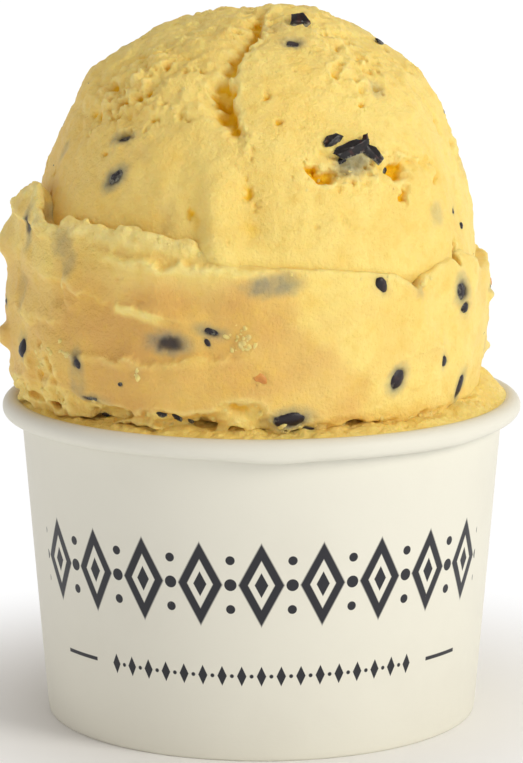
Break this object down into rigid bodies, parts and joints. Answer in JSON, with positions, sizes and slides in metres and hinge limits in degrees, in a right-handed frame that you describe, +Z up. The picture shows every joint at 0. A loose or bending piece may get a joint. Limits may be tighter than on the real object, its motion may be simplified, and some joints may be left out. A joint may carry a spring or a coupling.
{
  "type": "gelato cup",
  "caption": "Paper cup with a rolled rim, filled and heaped with a tall dome of creamy yellow passion fruit gelato with dark seeds.",
  "frame": {"origin": "centre of the cup's foot, on the plane that it stands on", "axes": "+Z up along the cup's axis; -Y towards the side of the cup with the print, +X to the right of that side"},
  "size_m": [0.088, 0.088, 0.1203],
  "materials": {
    "paper": "matte off-white coated paper with a dark printed ornament",
    "paper_inside": "matte off-white coated paper, no print",
    "gelato_fill": "torn, rough frozen cream, slightly translucent",
    "gelato_lower": "spatula-smeared frozen cream, matte to satin, slightly translucent",
    "gelato_upper": "scooped frozen cream, matte, slightly translucent"
  },
  "bodies": {
    "root": {"cup_wall": "paper", "cup_bottom": "paper_inside", "gelato_fill": "gelato_fill", "scoop_lower": "gelato_lower", "scoop_upper": "gelato_upper"}
  },
  "joints": []
}
